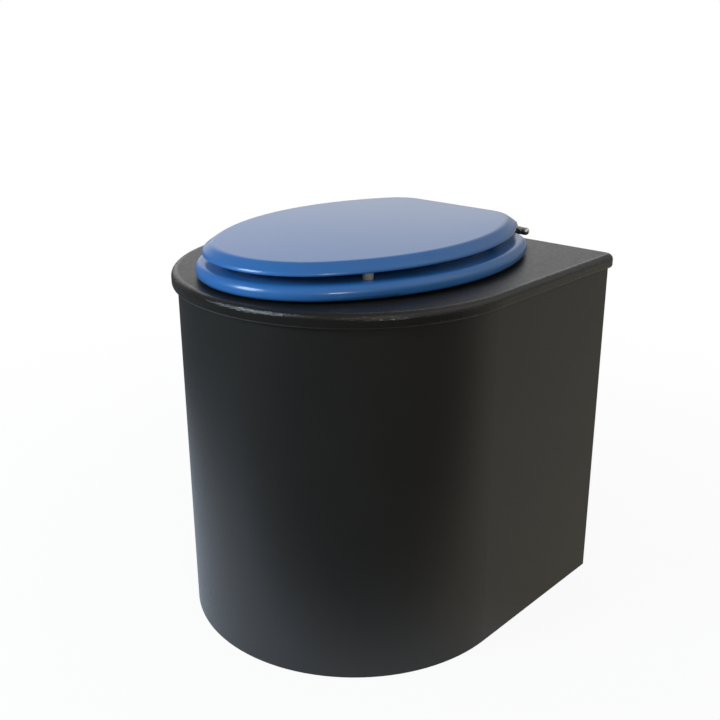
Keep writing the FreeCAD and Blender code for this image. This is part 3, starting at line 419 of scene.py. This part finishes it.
# stainless sheet of bucket and splash guard
sheetSet = {
    "dark": (0.42, 0.42, 0.42),
    "light": (0.60, 0.60, 0.59),
    "rough": (0.24, 0.40),
    "lines": 1400.0,
    "run": 18.0,
    "lineShare": 0.65,
    "cloud": 12.0,
    "cloudDetail": 3.0,
    "strength": 0.3,
    "lift": 0.00004,
}


def sheetMaterial(spec):
    material, tree, shader = newMaterial("stainlessSheet", Metallic=1.0)
    lines = useGroup(tree, brushedLines, Scale=spec["lines"], Run=spec["run"])["Value"]
    cloud = useGroup(tree, softMottle, Scale=spec["cloud"], Detail=spec["cloudDetail"])["Value"]
    tone = blend(tree, spec["lineShare"], lines, cloud)
    dress(tree, shader, tint(tree, tone, spec["dark"], spec["light"]), spread(tree, tone, 0.0, 1.0, *spec["rough"]))
    bump(tree, shader, lines, spec["strength"], spec["lift"])
    return material


finishes = {
    "boardWall": wallMaterial(wallSet),
    "boardDeck": deckMaterial(deckSet),
    "paint": paintMaterial(paintSet),
    "plated": plainMaterial("platedHinge", True),
    "zinc": plainMaterial("zincScrew", True),
    "sheet": sheetMaterial(sheetSet),
    "paleRubber": plainMaterial("paleRubber", False),
    "blackRubber": plainMaterial("blackRubber", False),
    "grip": plainMaterial("blackGrip", False),
    "pineX": pineMaterial("X"),
    "pineY": pineMaterial("Y"),
    "pineZ": pineMaterial("Z"),
}
print("materials built:", len(finishes))

wearers = {
    "boardWall": ["casing_wall", "back_panel"],
    "boardDeck": ["deck_board"],
    "paint": ["seat_ring"],
    "plated": ["hinge_pillar_left", "hinge_pillar_right", "hinge_pin_left", "hinge_pin_right", "hinge_pin_caps",
               "seat_bracket_left", "seat_bracket_right", "lid_bracket_left", "lid_bracket_right"],
    "zinc": ["back_panel_screws", "base_screws", "deck_cleat_screws", "guard_screws", "seat_bracket_screws",
             "lid_bracket_screws", "hinge_washers", "hinge_wing_nuts", "bucket_bail"],
    "sheet": ["splash_guard", "bucket_shell", "bucket_ear_left", "bucket_ear_right"],
    "paleRubber": ["seat_bumpers", "lid_bumpers"],
    "blackRubber": ["hinge_gaskets"],
    "grip": ["bail_grip"],
    "pineX": ["bucket_stops", "deck_cleat_rear", "deck_cleat_front"],
    "pineY": ["base_panel", "base_cleat_left", "base_cleat_right", "deck_cleat_left", "deck_cleat_right"],
    "pineZ": ["corner_post_left", "corner_post_right"],
}
for finish, names in wearers.items():
    for name in names:
        nodes[name].data.materials.clear()
        nodes[name].data.materials.append(finishes[finish])
print("finishes on", sum(len(names) for names in wearers.values()), "nodes")


# lid: an oval of tangent arcs with a sloping edge that meets the flat top in a soft crease
lidSet = {
    "half": 0.1635,
    "front": -0.219,
    "rear": 0.2055,
    "widest": 0.012,
    "nose": 0.1295,
    "corner": 0.060,
    "sweep": 0.300,
    "under": 0.490,
    "top": 0.503,
    "lip": 0.0012,
    "round": 0.0060,
    "roundLow": 5.0,
    "slope": 55.0,
    "blend": 0.0065,
    "arcSteps": 26,
    "roundSteps": 10,
    "slopeSteps": 4,
    "creaseSteps": 5,
    "sharp": 35.0,
}


def arcPoints(x, y, radius, first, last, count):
    angles = [first + (last - first) * i / count for i in range(count)]
    return [(x + radius * math.cos(angle), y + radius * math.sin(angle)) for angle in angles]


def ovalLoop(spec, inset):
    count = spec["arcSteps"]
    half, nose, corner, sweep = (spec[key] - inset for key in ("half", "nose", "corner", "sweep"))
    front, rear, widest = spec["front"] + inset, spec["rear"] - inset, spec["widest"]
    noseY = front + nose
    side = (half ** 2 + (widest - noseY) ** 2 - nose ** 2) / (2 * (half - nose))
    sideX, sweepX, cornerY = half - side, half - sweep, rear - corner
    cornerX = sweepX + math.sqrt((sweep - corner) ** 2 - (cornerY - widest) ** 2)
    join = math.atan2(noseY - widest, -sideX)
    turn = math.atan2(cornerY - widest, cornerX - sweepX)
    right = arcPoints(0, noseY, nose, -math.pi / 2, join, count)
    right += arcPoints(sideX, widest, side, join, 0, count)
    right += arcPoints(sweepX, widest, sweep, 0, turn, count)
    right += arcPoints(cornerX, cornerY, corner, turn, math.pi / 2, count) + [(cornerX, rear)]
    return right + [(-x, y) for x, y in reversed(right[1:])]


def slopingEdge(spec):
    low, tilt = math.radians(spec["roundLow"]), math.radians(spec["slope"])
    rows = [(spec["lip"], spec["under"])]
    for radius, first, last in ((spec["lip"], -math.pi / 2, low), (spec["round"], low, tilt)):  # small lip, wider round
        inset, z = rows[-1]
        for i in range(1, spec["roundSteps"] + 1):
            angle = first + (last - first) * i / spec["roundSteps"]
            across, up = math.cos(first) - math.cos(angle), math.sin(angle) - math.sin(first)
            rows.append((inset + radius * across, z + radius * up))
    inset, z = rows[-1]
    drop = spec["blend"] / (2 * math.tan(tilt))
    rise = spec["top"] - drop - z
    for i in range(1, spec["slopeSteps"] + 1):
        share = i / spec["slopeSteps"]
        rows.append((inset + rise * math.tan(tilt) * share, z + rise * share))
    inset, z = rows[-1]
    for i in range(1, spec["creaseSteps"] + 1):  # soft crease into the flat top
        share = i / spec["creaseSteps"]
        rows.append((inset + spec["blend"] * share, z + drop * (2 * share - share * share)))
    return rows


def skinLoops(name, loops, sharp):
    shell = bmesh.new()
    rings = [[shell.verts.new(point) for point in loop] for loop in loops]
    count = len(rings[0])
    for lower, upper in zip(rings, rings[1:]):
        for i in range(count):
            shell.faces.new((lower[i], lower[(i + 1) % count], upper[(i + 1) % count], upper[i]))
    shell.faces.new(list(reversed(rings[0])))
    shell.faces.new(rings[-1])
    for face in shell.faces:
        face.smooth = True
    for edge in shell.edges:
        edge.smooth = edge.calc_face_angle(0) < math.radians(sharp)
    mesh = bpy.data.meshes.new(name)
    shell.to_mesh(mesh)
    shell.free()
    piece = bpy.data.objects.new(name, mesh)
    scene.collection.objects.link(piece)
    return piece


lidLoops = [[(x, y, z) for x, y in ovalLoop(lidSet, inset)] for inset, z in slopingEdge(lidSet)]
lidShell = skinLoops("lidShell", lidLoops, lidSet["sharp"])
lidShell.data.materials.append(finishes["paint"])
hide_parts("lid_panel")
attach(lidShell, "lid")
print("lid built,", len(lidShell.data.vertices), "points")


# pale floor, white to the camera; in reflections it shows a painted glow, a sheet that ends in front, painted bluish on
# the left and warm on the right
floorSet = {
    "color": (0.80, 0.80, 0.80),
    "rough": 0.9,
    "size": 12.0,
    "drop": 0.0004,
    "white": 0.93,
    "whiteReach": (0.45, 1.3),
    "sheetEnd": (0.24, 0.42),
    "sheetFar": 0.07,
    "sheetAcross": (-0.15, 0.25),
    "sheetOuter": (0.10, 1.0),
    "sheetFade": (0.36, 1.0),
    "sheetGlow": 0.9,
    # painted reflection: tints of the floor's glow seen only in reflections
    "paintedReflectLeft": (0.73, 0.84, 1.0),
    "paintedReflectRight": (0.43, 0.395, 0.33),
}


def directRays(tree):
    rays = addNode(tree, "ShaderNodeLightPath").outputs
    return mathNode(tree, "MAXIMUM", rays["Is Camera Ray"], rays["Is Transmission Ray"]), rays["Is Glossy Ray"]


def floorMaterial(spec):
    plain = {"Specular IOR Level": 0.0, "Roughness": spec["rough"], "Base Color": (*spec["color"], 1)}
    material, tree, shader = newMaterial("paleFloor", **plain)
    where, front = objectPoint(tree), math.radians(cameraSet["azimuth"])
    reach = vectorNode(tree, "LENGTH", {0: where}, "Value")
    toward = vectorNode(tree, "DOT_PRODUCT", {0: where, 1: (math.sin(front), -math.cos(front), 0)}, "Value")
    across = vectorNode(tree, "DOT_PRODUCT", {0: where, 1: (math.cos(front), math.sin(front), 0)}, "Value")
    direct, glossy = directRays(tree)
    fade = spread(tree, reach, *spec["whiteReach"], spec["white"], 1.0)  # shadow near the object, white further out
    pale = spread(tree, toward, *spec["sheetEnd"], 1.0, spec["sheetFar"])
    sideways = spread(tree, across, *spec["sheetAcross"])
    far = spread(tree, sideways, 0.0, 1.0, *spec["sheetOuter"])  # how much of the glow is left far out
    near = mathNode(tree, "MULTIPLY", pale, spread(tree, reach, *spec["sheetFade"], 1.0, far))
    # painted reflection tint: bluish on the left, warm on the right, standing in for lamp light on the floor
    paintedReflectTint = tint(tree, sideways, spec["paintedReflectLeft"], spec["paintedReflectRight"])
    shade = tint(tree, direct, paintedReflectTint, (1.0, 1.0, 1.0))
    glow = addNode(tree, "ShaderNodeEmission", {"Color": shade, "Strength": pick(tree, direct, near, 1.0)})
    amount = mathNode(tree, "MAXIMUM", mathNode(tree, "MULTIPLY", direct, fade),
                      mathNode(tree, "MULTIPLY", glossy, spec["sheetGlow"]))
    mix = addNode(tree, "ShaderNodeMixShader", {0: amount, 1: shader.outputs[0], 2: glow.outputs[0]})
    tree.links.new(mix.outputs[0], tree.nodes["Material Output"].inputs["Surface"])
    return material


def makeFloor(spec):
    mesh, half = bpy.data.meshes.new("floor"), spec["size"] / 2
    corners = [(-half, -half, 0), (half, -half, 0), (half, half, 0), (-half, half, 0)]
    mesh.from_pydata(corners, [], [(0, 1, 2, 3)])
    mesh.materials.append(floorMaterial(spec))
    floor = bpy.data.objects.new("floor", mesh)
    floor.location.z = -spec["drop"]
    scene.collection.objects.link(floor)


# room round the object: white to the camera; in reflections bright at the back left, paler on the right, else dim
roomSet = {
    "bright": (-0.69, 0.66, 0.29),
    "cone": (0.86, 0.95),
    "full": 0.96,
    "depth": (-0.3, 0.8),
    "dim": (0.12, 0.36),
    "side": (-0.2, 0.6),
    "sideFoot": (0.10, 0.35),
    "sideGlow": 0.42,
    "ambient": 0.75,
    "overhead": 0.42,
}


def makeRoom(spec):
    world = bpy.data.worlds.new("studio")
    scene.world = world
    world.use_nodes = True
    tree = world.node_tree
    way = addNode(tree, "ShaderNodeTexCoord").outputs["Generated"]
    part = axes(tree, way)
    toward = vectorNode(tree, "DOT_PRODUCT", {0: way, 1: tuple(Vector(spec["bright"]).normalized())}, "Value")
    room = spread(tree, part["Y"], *spec["depth"], *spec["dim"])  # dimmer in front than behind
    walls = spread(tree, toward, *spec["cone"], room, spec["full"])
    above = mathNode(tree, "MULTIPLY", mathNode(tree, "MAXIMUM", part["Z"], 0.0), spec["overhead"])
    soft = mathNode(tree, "ADD", mathNode(tree, "MULTIPLY", walls, spec["ambient"]), above)
    beside = spread(tree, part["X"], *spec["side"], 0.0, spec["sideGlow"])
    raised = mathNode(tree, "MULTIPLY", beside, spread(tree, part["Z"], *spec["sideFoot"]))
    direct, glossy = directRays(tree)
    lit = pick(tree, glossy, soft, mathNode(tree, "ADD", walls, raised))
    background = tree.nodes["Background"]
    background.inputs["Color"].default_value = (1, 1, 1, 1)
    tree.links.new(pick(tree, direct, lit, 1.0), background.inputs["Strength"])


lampSet = {
    "aim": (0, 0, 0.35),
    "key": {"azimuth": -22.0, "elevation": 26.0, "distance": 2.2, "size": (0.8, 0.9),
            "power": 36.0, "color": (0.68, 0.84, 1.0)},
    "second": {"azimuth": 58.0, "elevation": 23.0, "distance": 2.4, "size": (0.3, 0.3),
               "power": 6.5, "color": (1.0, 0.95, 0.88)},
    "right": {"azimuth": 118.0, "elevation": 40.0, "distance": 2.2, "size": (1.4, 1.4),
              "power": 2.0, "color": (1.0, 0.92, 0.78)},
}


def addLamp(name, spec):
    away = awayFrom(spec)
    data = bpy.data.lights.new(name, "AREA")
    data.shape = "RECTANGLE"
    data.size, data.size_y = spec["size"]
    data.energy = spec["power"]
    data.color = spec["color"]
    lamp = bpy.data.objects.new(name, data)
    lamp.location = Vector(lampSet["aim"]) + away * spec["distance"]
    lamp.rotation_euler = away.to_track_quat("Z", "Y").to_euler()
    scene.collection.objects.link(lamp)


makeFloor(floorSet)
makeRoom(roomSet)
for lampName in ("key", "second", "right"):
    addLamp(lampName + "Lamp", lampSet[lampName])
print("studio lit")
